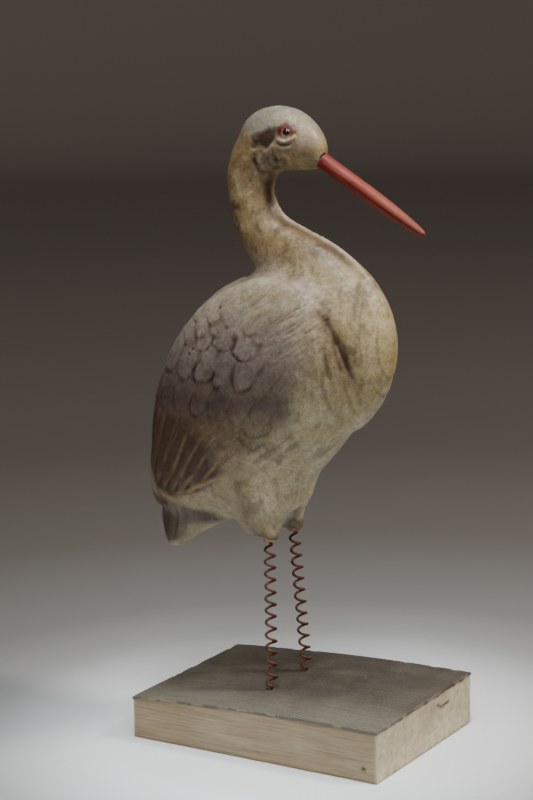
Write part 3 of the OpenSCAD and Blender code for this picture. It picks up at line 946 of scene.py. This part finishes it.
def paint_tail(s):
    """The tail is brown over its whole length, with thin pale bars and a pale lower edge."""
    u, w = s.ahead, s.above
    tail = smoothstep(20 - w - 0.25 * (u + 60), 0, 5) * smoothstep(-24 - u, 0, 8)
    bars = along_noise(u, w, 66, 40, 2.4, 41) + 0.4 * along_noise(u, w, 64, 20, 1.2, 43)
    s.tint(srgb(92, 72, 56), tail * 0.9)
    s.tint("edge", tail * smoothstep(bars, 0.45, 0.9) * 0.35)
    s.tint("dark", tail * smoothstep(-bars, 0.2, 0.6) * 0.4)
    s.height += 0.3 * bars * tail
    under = smoothstep(-s.normals[:, 2], 0.35, 0.8) * smoothstep(6 - w, 0, 6) * smoothstep(-20 - u, 0, 8)
    s.tint("cream", under * 0.8)


# Folds round the eye and down the cheek: their line, width, height, colour and strength.
# Pale on the raised folds is a painted highlight, and dark brown in the sunken folds is painted shade.
FACE_FOLDS = (
    ([(8.3, 188), (8.2, 186), (9, 184.4)], 0.9, 0.1, "red", 0.95),
    ([(13.6, 188), (13.8, 186.2), (12.8, 184.6)], 0.9, 0.1, srgb(124, 52, 44), 0.95),
    ([(7, 183.6), (9, 182.4), (11.4, 182.2), (13.8, 183.4), (15.4, 184.8)], 0.8, 1.1, "pale", 0.9),
    ([(6.6, 181.6), (9.6, 180.4), (13, 181)], 0.7, -0.4, srgb(70, 52, 38), 0.7),
    ([(6, 180.8), (2, 178), (-1, 175.4), (-4.4, 172)], 1.1, 0.95, "pale", 0.55),
    ([(7, 179.4), (10.4, 179.2), (13.6, 179.7)], 0.8, 0.6, "pale", 0.5),
    ([(9, 177), (11, 174.6), (11, 172), (8.4, 170.6)], 0.8, 0.6, "pale", 0.4),
    ([(4, 177), (5, 174), (3.6, 171.4)], 0.8, -0.4, srgb(70, 52, 38), 0.6),
    ([(-4.5, 177), (-6, 172.6), (-4.6, 168.2), (-0.8, 167.2)], 1.0, -0.5, srgb(70, 52, 38), 0.6),
    ([(-2.6, 175.4), (-3.4, 171.6), (-1.6, 169)], 0.8, 0.4, "pale", 0.45),
    ([(1.4, 175.6), (0.6, 172), (2.2, 169.4)], 0.7, -0.35, srgb(76, 56, 40), 0.5),
)


def model_head(s):
    """Brow, eyelid, the hollow behind the eye and the folds of the cheek."""
    side = smoothstep(s.out, 3, 6)
    u, w = s.ahead, s.above
    soft_edge = 0.5 * fractal(s.points, 4, 3, 63)
    reach = np.sqrt(((u - 0.4) / 7.6) ** 2 + ((w - 183.2 - 0.25 * u) / 4.8) ** 2) + soft_edge
    hollow = smoothstep(1.15 - reach, 0, 0.6) * side
    s.height -= 1.1 * hollow
    # The hollow behind the eye is painted dark brown: painted shade.
    s.tint(srgb(70, 54, 38), hollow * 0.9)
    lid = [(8, 186.8), (9.2, 188.4), (11, 189.4), (13, 188.6), (13.9, 187)]
    s.stroke(lid, 1.5, 0.6, side, "red", 1.0, taper=False)
    for line, width, height, colour, strength in FACE_FOLDS:
        s.stroke(line, width, height, side, colour, strength)
    wrinkle = fractal(s.points, 3.2, 3, 61)
    cheek = np.exp(-(((u - 2) / 9) ** 2) - (((w - 173) / 6) ** 2)) * side
    s.height += 0.8 * wrinkle * cheek
    # Darker where the wrinkles sink: painted shade.
    s.tint(srgb(84, 62, 44), cheek * smoothstep(-wrinkle, 0.0, 0.5) * 0.7)


def model_seams(s):
    """The join of the two halves stands up as a ridge, most of all down the throat."""
    w = s.above
    y = s.points[:, 1] + 0.25 * value_noise(s.points / 6, 71)
    front = smoothstep(s.normals[:, 0], 0.1, 0.5) * smoothstep(168 - w, 0, 6)
    throat = front * smoothstep(w, 118, 134)
    s.height += throat * 1.1 * bump_at(y, 0, 1.0) + (front - throat) * 0.2 * bump_at(y, 0, 0.8)
    # Painted shadow: the dark brown band either side of the throat ridge stands in for the shade there, and the
    # pale line on the ridge is a painted highlight.
    s.tint(srgb(76, 52, 36), throat * smoothstep(7.5 - np.abs(y), 0, 4) * (1 - bump_at(y, 0, 1.5)) * 0.85)
    s.tint("pale", throat * bump_at(y, 0, 0.9) * 0.7)
    back = smoothstep(-s.normals[:, 0], 0.2, 0.6) * smoothstep(w, 0, 12)
    s.height += back * 0.25 * bump_at(y, 0, 0.9)


def weather(s):
    """Uneven paper pulp, painted shade and soiling in every hollow, rubbed high places and torn ends of the
    thighs.
    """
    lumps = fractal(s.points, 13, 4, 81)
    pits = fractal(s.points, 1.9, 2, 85)
    wing = smoothstep(inside_distance(s.ahead, s.above, WING_OUTLINE), -2, 4)
    head = smoothstep(s.above, 172, 182)
    s.height += 0.28 * lumps * (1 - 0.5 * wing) * (1 - 0.6 * head) + 0.10 * pits
    hollow_form = ((neighbour_blur(s.points, s.edges, 40, 0.9) - s.points) * s.normals).sum(1)
    s.height = np.clip(s.height * (1 - 0.7 * smoothstep(hollow_form, 0.35, 1.2)), -DEEPEST_MARK, HIGHEST_MARK)
    hollow_mark = neighbour_blur(s.height, s.edges, 6, 0.9) - s.height
    # Darker in every hollow of the form and under raised marks: painted shade along with soiling.
    shade_and_dirt = smoothstep(hollow_form, 0.25, 1.3) * 0.55 + smoothstep(hollow_mark, 0.05, 0.32) * 0.6
    grain = 0.7 + 0.5 * fractal(s.points, 4, 3, 91)
    s.tint("dark", np.clip(shade_and_dirt * grain, 0, 0.85))
    rubbed = smoothstep(-hollow_mark, 0.08, 0.35) * (0.5 + 0.5 * fractal(s.points, 6, 2, 95))
    s.tint("pale", rubbed * 0.30)
    end = smoothstep(6 - s.above, 0, 5) * smoothstep(s.ahead, -12, -8) * smoothstep(10 - s.ahead, 0, 3)
    s.height += end * 0.8 * fractal(s.points, 2.2, 2, 97)
    s.tint(srgb(120, 104, 82), end * 0.6)
    s.matt = np.clip(shade_and_dirt + 0.3 * lumps + 0.5 * end - 0.5 * head, 0, 1)


def finished_skin():
    obj = outer_skin()
    cavity = shell_cavity(obj)
    s = Skin(obj)
    paint_regions(s)
    model_wings(s)
    paint_tail(s)
    model_head(s)
    model_seams(s)
    weather(s)
    set_points(obj, s.points + s.normals * s.height[:, None])
    return s, cavity


def transfer_paint(obj, s, tree, inside_from):
    """Each point takes the paint of the nearest point of the skin, and raw paper where that is far away."""
    found = [tree.find(v.co) for v in obj.data.vertices]
    index = np.array([f[1] for f in found])
    away = np.array([f[2] for f in found]) / MM
    raw = smoothstep(away, inside_from, inside_from + 0.5)
    places = points_of(obj)
    shade = TONES["raw"] * (1 + 0.15 * fractal(places, 6, 3, 99))[:, None]
    for old in list(obj.data.attributes):
        if old.name in ("paint", "matt"):
            obj.data.attributes.remove(old)
    set_values(obj, "paint", np.clip(mix(s.paint[index], shade, raw), 0, 1))
    set_values(obj, "matt", np.clip(s.matt[index] + raw, 0, 1))


def skin_tree(s):
    tree = kdtree.KDTree(len(s.obj.data.vertices))
    for i, v in enumerate(s.obj.data.vertices):
        tree.insert(v.co, i)
    tree.balance()
    return tree


def half_space(side):
    """A block that covers all of one side of the middle plane."""
    low, high = np.array(cad_low) / MM - 10, np.array(cad_high) / MM + 10
    if side < 0:
        high[1] = -0.02
    else:
        low[1] = 0.02
    points, faces = lattice_box((1, 1, 1))
    return make_mesh("half_space", low + points * (high - low), faces)


def build_body(beak, eyes):
    """Both half shells, hollow and with their sockets."""
    material = painted_paper("painted_paper")
    s, cavity = finished_skin()
    tree = skin_tree(s)
    whole = copy_of(s.obj, "whole")
    cutters = [cavity]
    cutters += [welded(n) for n in ("head_plug", "leg_plug_right", "leg_plug_left")]
    cutters += [copy_of(o, "cutter") for o in (beak, *eyes)]
    for cutter in cutters:
        cut(whole, cutter, "DIFFERENCE")
    for side, word in SIDES:
        node = "shell_" + word
        half = copy_of(whole, node + "_painted")
        block = half_space(side)
        cut(half, block, "INTERSECT")
        drop_parts(half, 0.02)
        transfer_paint(half, s, tree, 0.9)
        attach(dress(soften(half), material), "bird")
        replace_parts(half, node)
        remove(block)
    remove(whole, s.obj, *cutters)


# ---------------------------------------------------------------- beak and eyes

def build_beak():
    """A carved bill with a tenon, a line where the two mandibles meet, and slightly uneven faces."""
    sides, rings = 40, 90
    taper_from, tip_from = 0.35, 0.97
    forward = np.array([math.cos(BEAK_DROOP), 0, -math.sin(BEAK_DROOP)])
    angles = np.arange(sides) * 2 * math.pi / sides
    depths = [TENON_LENGTH - k * TENON_LENGTH / 3 for k in range(3)] + [0.01]  # the tenon, hidden in the head
    centres = [BEAK_ROOT - forward * depth for depth in depths]
    radii = [np.full(sides, TENON_RADIUS) for _ in depths]
    along = [0 for _ in depths]
    groove = [np.zeros(sides) for _ in depths]
    for k in range(rings + 1):
        t = k / rings
        tapered = (1 - max(0, (t - taper_from) / (1 - taper_from)) ** 2.2) ** 0.6
        radius = BEAK_TIP_RADIUS + (BEAK_RADIUS - BEAK_TIP_RADIUS) * tapered
        if t > tip_from:
            radius *= math.sqrt(max(0.05, 1 - ((t - tip_from) / (1 - tip_from)) ** 2))
        place = np.column_stack([np.full(sides, t * 9), np.cos(angles) * 1.3, np.sin(angles) * 1.3])
        line = (bump_at(np.sin(angles + 0.12), 0, 0.11)) * float(smoothstep(np.array(t), 0.16, 0.3))
        radii.append(radius * (1 + 0.03 * value_noise(place, 121)) - 0.28 * line * min(1, radius / 2))
        centres.append(BEAK_ROOT + forward * t * BEAK_LENGTH)
        along.append(t)
        groove.append(line)
    points = swept_rings(centres, radii, sides)
    beak = make_mesh("beak_carved", points, tube_faces(len(centres), sides))
    set_values(beak, "along", np.repeat(along, sides))
    set_values(beak, "groove", np.concatenate(groove))
    dress(soften(beak, 50), beak_paint("beak_paint"))
    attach(beak, "bird")
    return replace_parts(beak, "beak")


def build_eye(side, name, node, material):
    """A bead with a slightly domed pupil, turned out and a little forward."""
    rows, columns = 28, 40
    outward = np.array([0.12, side, 0.05])
    outward /= np.linalg.norm(outward)
    profile = []
    for k in range(rows + 1):
        a = math.pi * k / rows
        radius = EYE_RADIUS + 0.12 * math.exp(-((a / 0.45) ** 2))
        profile.append((radius * math.cos(a), radius * math.sin(a), a / math.pi))
    centre = HIP + EYE_PLACE * [1, side, 1]
    across = np.cross(outward, [0, 0, 1])
    across /= np.linalg.norm(across)
    up = np.cross(across, outward)
    points, from_pupil = [centre + outward * profile[0][0]], [0]
    for depth, reach, share in profile[1:-1]:
        for j in range(columns):
            turn = 2 * math.pi * j / columns
            points.append(centre + outward * depth + reach * (across * math.cos(turn) + up * math.sin(turn)))
            from_pupil.append(share * 2)
    points.append(centre + outward * profile[-1][0])
    from_pupil.append(2)
    ring = lambda r, j: 1 + (r - 1) * columns + j % columns
    faces = [(0, ring(1, j + 1), ring(1, j)) for j in range(columns)]
    for r in range(1, rows - 1):
        faces += [(ring(r, j), ring(r, j + 1), ring(r + 1, j + 1), ring(r + 1, j)) for j in range(columns)]
    faces += [(len(points) - 1, ring(rows - 1, j), ring(rows - 1, j + 1)) for j in range(columns)]
    eye = make_mesh(name, points, faces)
    work = bmesh.new()
    work.from_mesh(eye.data)
    bmesh.ops.recalc_face_normals(work, faces=work.faces)
    work.to_mesh(eye.data)
    work.free()
    set_values(eye, "from_pupil", np.clip(np.array(from_pupil), 0, 1))
    dress(soften(eye), material)
    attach(eye, "bird")
    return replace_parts(eye, node)


# ---------------------------------------------------------------- spring legs

def build_spring(side, name, node, material):
    """A hand-wound coil from the block to the thigh, in three lengths that bend one after the other."""
    foot, top = FOOT * [1, side, 1], LEG_TOP * [1, side, 1]
    rise = top - foot
    axis = rise / np.linalg.norm(rise)
    e1 = np.cross([0, 1, 0], axis)
    e1 /= np.linalg.norm(e1)
    e2 = np.cross(axis, e1)
    steps_per_turn, tail_steps, sides = 24, 6, 14
    steps = COIL_TURNS * steps_per_turn
    centres = [foot - axis * FOOT_TAIL * (1 - k / tail_steps) for k in range(tail_steps)]
    for k in range(steps + 1):
        t = k / steps
        opened = min(1, t * COIL_TURNS / 0.5, (1 - t) * COIL_TURNS / 0.5)
        wobble = 1 + 0.03 * math.sin(2.1 * t * COIL_TURNS + side)
        radius = COIL_RADIUS * math.sin(math.pi / 2 * opened) * wobble
        angle = -2 * math.pi * COIL_TURNS * t
        slack = 0.18 * math.sin(1.7 * t * COIL_TURNS + 2 * side) * math.sin(math.pi * t)
        centres.append(foot + rise * (0.012 + 0.976 * t) + axis * slack
                       + radius * (math.cos(angle) * e1 + math.sin(angle) * e2))
    centres += [top + axis * TOP_TAIL * (k + 1) / tail_steps for k in range(tail_steps)]
    centres = np.array(centres)
    climbed = (centres - foot) @ axis
    thirds = [int(np.argmin(np.abs(climbed - f * np.linalg.norm(rise)))) for f in (1 / 3, 2 / 3)]
    cuts = [0, *thirds, len(centres) - 1]
    points = swept_rings(centres, np.full(len(centres), WIRE_RADIUS), sides)
    spans = (("low", "base", "leg_low"), ("mid", "leg_low", "leg_high"), ("high", "leg_high", "bird"))
    for (part, a, b), first, last, number in zip(spans, cuts, cuts[1:], range(3)):
        own = points[first * sides:(last + 1) * sides]
        piece = make_mesh(f"{name}_{part}", own, tube_faces(last - first + 1, sides))
        dress(soften(piece, 60), material)
        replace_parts(piece, node)
        start, end = (foot + rise * number / 3) * MM, (foot + rise * (number + 1) / 3) * MM
        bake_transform(piece, a, b, start=start, end=end)


# ---------------------------------------------------------------- wooden block

def block_top(x, y):
    """Height of the wood's upper face: higher at one end, crowned, a little twisted and uneven."""
    along, over = x / BLOCK_HIGH[0], y / BLOCK_HIGH[1]
    height = TOP_HEIGHT + TOP_SLOPE * along / 2 + TOP_CROWN * (1 - along ** 2) + TOP_TWIST * along * over
    return height + TOP_WAVE * fractal(np.column_stack([x / 2, y, x * 0]), 14, 3, 133)


def rounded(points, low, high, radius):
    """Pulls the edges of a box in to rounded ones."""
    core = np.clip(points, low + radius, high - radius)
    away = points - core
    length = np.linalg.norm(away, axis=1)[:, None]
    return np.where(length > 1e-9, core + away / np.maximum(length, 1e-9) * radius, points)


def build_block():
    """A sawn piece of wood with softened edges, open grain, saw marks, a nail hole and a short crack."""
    length, width, _ = BLOCK_HIGH - BLOCK_LOW
    unit, faces = lattice_box((128, 92, 24))
    places = BLOCK_LOW + unit * [length, width, DRAFT_HEIGHT]
    edge = 0.7 + 0.35 * value_noise(places / 9, 131)
    low, high = np.array([*BLOCK_LOW[:2], 0]), np.array([*BLOCK_HIGH[:2], DRAFT_HEIGHT])
    places = rounded(places, low, high, edge[:, None])
    x, y = places[:, 0], places[:, 1]
    share = places[:, 2] / DRAFT_HEIGHT
    places[:, 2] = share * block_top(x, y)
    grain = fractal(np.column_stack([x / 14, y, places[:, 2]]), 1.8, 3, 135)
    sawn = np.sin(places[:, 2] * 2.2 + 0.6 * fractal(places, 20, 2, 137))
    near, far = np.exp(-(y - BLOCK_LOW[1]) / CORNER_REACH), np.exp(-(BLOCK_HIGH[1] - y) / CORNER_REACH)
    right, left = np.exp(-(BLOCK_HIGH[0] - x) / CORNER_REACH), np.exp(-(x - BLOCK_LOW[0]) / CORNER_REACH)
    long_mark = 0.10 + 0.22 * grain + 0.05 * sawn
    places[:, 1] += long_mark * near - long_mark * far
    end_mark = 0.15 + 0.2 * fractal(places, 1.4, 2, 139)
    places[:, 0] += end_mark * left - end_mark * right
    hole = np.exp(-(((x - 57) ** 2 + (places[:, 2] - 6) ** 2) / 0.9)) * near
    places[:, 1] += 1.6 * hole
    crack_away, _ = line_distance(y, places[:, 2], [(12, 19), (17, 16.5), (24, 17.4)])
    crack = np.exp(-((crack_away / 0.6) ** 2)) * right
    places[:, 0] -= 0.7 * crack
    block = make_mesh("base_block_wood", places, faces)
    # The sawn ends take the paler end colour: partly their own grain, partly painted light.
    set_values(block, "end_grain_and_light", np.clip(right + left, 0, 1))
    # Darker along the bottom edge, where the block meets the floor, and in the nail hole: painted shade. The
    # band under the top edge and the crack are dark soiling.
    edge_shade_and_grime = smoothstep(share, 0.93, 1.0) * 0.35 + smoothstep(0.06 - share, 0, 0.06) * 0.6
    patchy = 0.6 + 0.6 * fractal(places, 5, 3, 141)
    set_values(block, "grime_and_shade", np.clip(hole + crack + edge_shade_and_grime * patchy, 0, 1))
    dress(soften(block), block_wood("block_wood"))
    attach(block, "base")
    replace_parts(block, "base_block")


def build_top_coat():
    """Thick ground paint over the block's upper face, run over its edges and chipped along the front."""
    half_x, half_y = BLOCK_HIGH[:2]
    unit, faces = lattice_box((150, 108, 2))
    x = (unit[:, 0] - 0.5) * 2 * half_x
    y = (unit[:, 1] - 0.5) * 2 * half_y
    wood = block_top(x, y)
    rough_place = np.column_stack([x, y, x * 0])
    edge = np.minimum(half_x - np.abs(x), half_y - np.abs(y))
    ragged = fractal(rough_place, 5, 4, 151)
    front = smoothstep(-half_y + 1.4 - y, 0, 1.1) * smoothstep(ragged + 0.2 * bump_at(x, -18, 16), 0.16, 0.34)
    around = smoothstep(0.8 - edge, 0, 0.7) * smoothstep(ragged, 0.3, 0.45)
    chip = np.clip(front + around, 0, 1)
    thick = (COAT_THICKNESS + 0.10 * fractal(rough_place, 6, 3, 153)) * (1 - chip) - 0.12 * chip
    rim = smoothstep(0.3 - edge, 0, 0.3) * (1 - chip)
    drip = rim * (0.3 + 0.5 * np.clip(fractal(rough_place, 4, 2, 155), -0.4, 1))
    level = unit[:, 2]
    bottom = wood - 0.3 - drip
    places = np.column_stack([x, y, bottom + level * (wood + thick - bottom)])
    over = 0.12 * rim * (1 - 1.4 * (level > 0.9))
    places[:, 0] += np.where(half_x - np.abs(x) < 0.3, np.sign(x) * over, 0)
    places[:, 1] += np.where(half_y - np.abs(y) < 0.3, np.sign(y) * over, 0)
    coat = make_mesh("base_top_paint", places, faces)
    set_values(coat, "bare", smoothstep(0.5 - edge, 0, 0.5) * smoothstep(ragged, -0.05, 0.3) * 0.5)
    # Paler towards the front and towards the right end: partly a pale dusting, partly painted light where the
    # top lies outside the bird's shadow.
    dust_and_light = smoothstep(-8 - y, 0, 30) + 0.4 * smoothstep(x, 10, 50) * smoothstep(20 - y, 0, 30)
    set_values(coat, "dust_and_light", np.clip(0.55 * dust_and_light + 0.15 * fractal(rough_place, 9, 3, 157), 0, 0.7))
    dress(soften(coat), ground_paint("ground_paint"))
    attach(coat, "base")
    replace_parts(coat, "base_top_coat")


# ---------------------------------------------------------------- stage, light and camera

# Metres. The floor is flat out to its reach, and then curves up into the wall.
FLOOR_REACH, WALL_CURVE, WALL_TOP, STAGE_COLUMNS = 2.2, 0.4, 2.2, 96
# Floor and wall colours by distance from the middle, as a share of the ramp's length in metres: palest under
# the block, darkest at about 0.6 m, and a little paler again at the wall.
RAMP_LENGTH = 3.0
# The pale ring round the block is a painted pool of light, and the wall is painted paler to make up for the
# light that fades with distance.
PAINTED_FLOOR_LIGHT = ((0.033, srgb(230, 238, 241)), (0.052, srgb(158, 161, 162)), (0.07, srgb(131, 131, 131)),
                (0.117, srgb(110, 106, 103)), (0.2, srgb(103, 97, 93)), (0.333, srgb(124, 115, 110)),
                (0.867, srgb(184, 174, 168)))


def build_stage():
    """A floor that curves up into a plain wall far behind."""
    wall_radius = FLOOR_REACH + WALL_CURVE
    profile = [(r, 0) for r in np.linspace(0, FLOOR_REACH, 24)]
    for a in np.linspace(0.1, math.pi / 2, 10):
        profile.append((FLOOR_REACH + WALL_CURVE * math.sin(a), WALL_CURVE - WALL_CURVE * math.cos(a)))
    profile += [(wall_radius, z) for z in (1, 1.6, WALL_TOP)]
    turns = [2 * math.pi * j / STAGE_COLUMNS for j in range(STAGE_COLUMNS)]
    work = bmesh.new()
    rings = []
    for radius, z in profile[1:]:
        rings.append([work.verts.new((radius * math.cos(a), radius * math.sin(a), z)) for a in turns])
    centre = work.verts.new((0, 0, 0))
    for j in range(STAGE_COLUMNS):
        after = (j + 1) % STAGE_COLUMNS
        work.faces.new((centre, rings[0][j], rings[0][after]))
        for inner, outer in zip(rings, rings[1:]):
            work.faces.new((inner[j], outer[j], outer[after], inner[after]))
    mesh = bpy.data.meshes.new("studio_sweep")
    work.to_mesh(mesh)
    work.free()
    sweep = link(bpy.data.objects.new("studio_sweep", mesh))
    soften(sweep)
    p = Paint("studio_paper", Specular_IOR_Level=0.15)
    away = p.node("ShaderNodeVectorMath", {0: p.place}, operation="LENGTH").outputs["Value"]
    p.colour(p.ramp(p.range(away, 0.0, RAMP_LENGTH, 0.0, 1.0), *PAINTED_FLOOR_LIGHT))
    p.roughness(p.range(p.noise(40, 2), 0.3, 0.7, 0.8, 0.9))
    mesh.materials.append(p.material)


# Metres, degrees and watts. The lamps aim at the object's middle, and only the last at the floor in front.
MIDDLE = (0, 0, 0.12)
KEY_FLAT = KEY_DISTANCE * math.cos(KEY_HEIGHT)
KEY_PLACE = (KEY_FLAT * math.cos(KEY_HEADING), KEY_FLAT * math.sin(KEY_HEADING),
             MIDDLE[2] + KEY_DISTANCE * math.sin(KEY_HEIGHT))
# Name, place, aim, width, power, colour, and the angle of its cone.
LAMPS = (
    ("key", KEY_PLACE, MIDDLE, 0.18, KEY_POWER, (1.0, 0.93, 0.84), 180),
    ("overhead", (0.10, -0.02, 1.2), MIDDLE, 0.3, OVERHEAD_POWER, (0.97, 0.98, 1.0), 180),
    ("top_front", (0.19, -0.32, 1.03), MIDDLE, 0.22, TOP_FRONT_POWER, (1.0, 0.98, 0.94), 180),
    ("front", (0.35, -0.9, 0.9), MIDDLE, 0.8, FRONT_POWER, (1.0, 0.95, 0.88), 180),
    ("near_floor", (0.12, -0.32, 0.48), (0.02, -0.14, 0), 0.12, NEAR_FLOOR_POWER, (0.84, 0.94, 1.0), 40),
)
CAMERA_PLACE = (0.53732, -0.91529, 0.3820)
CAMERA_TURN, CAMERA_TILT, CAMERA_ROLL = math.radians(31.215), math.radians(78.036), math.radians(-0.83)
LENS, SENSOR_WIDTH = 108, 36


def area_light(name, place, aim, width, power, colour, spread):
    """A round soft lamp that shines within a cone of so many degrees."""
    data = bpy.data.lights.new(name, "AREA")
    data.shape, data.size, data.energy, data.color = "DISK", width, power, colour
    data.spread = math.radians(spread)
    lamp = link(bpy.data.objects.new(name, data))
    lamp.location = place
    lamp.rotation_euler = (Vector(aim) - Vector(place)).to_track_quat("-Z", "Y").to_euler()


def build_light_and_camera():
    for lamp in LAMPS:
        area_light(*lamp)
    world = bpy.data.worlds.new("studio_air")
    world.use_nodes = True
    air = world.node_tree.nodes["Background"].inputs
    air["Color"].default_value = (1.0, 0.93, 0.86, 1)
    air["Strength"].default_value = AIR_STRENGTH
    bpy.context.scene.world = world
    data = bpy.data.cameras.new("camera")
    data.lens, data.sensor_width = LENS, SENSOR_WIDTH
    camera = link(bpy.data.objects.new("camera", data))
    camera.location = CAMERA_PLACE
    turn = Matrix.Rotation(CAMERA_TURN, 3, "Z") @ Matrix.Rotation(CAMERA_TILT, 3, "X")
    camera.rotation_euler = (turn @ Matrix.Rotation(CAMERA_ROLL, 3, "Z")).to_euler()
    bpy.context.scene.camera = camera


def main():
    build_light_and_camera()
    build_stage()
    beak = build_beak()
    bead = eye_glass("eye_glass")
    eyes = [build_eye(side, f"eye_{word}_bead", f"eye_{word}", bead) for side, word in SIDES]
    build_body(beak, eyes)
    wire = rusty_wire("rusty_wire")
    for side, word in SIDES:
        build_spring(side, f"spring_{word}", f"leg_spring_{word}", wire)
    build_block()
    build_top_coat()
    plug = turned_plug("turned_plug")
    for node in ("head_plug", "leg_plug_right", "leg_plug_left"):
        dress(NODES[node], plug)
    paper = pasted_paper("pasted_paper")
    for node in ("seam_tape_front", "seam_tape_back"):
        dress(NODES[node], paper)


main()
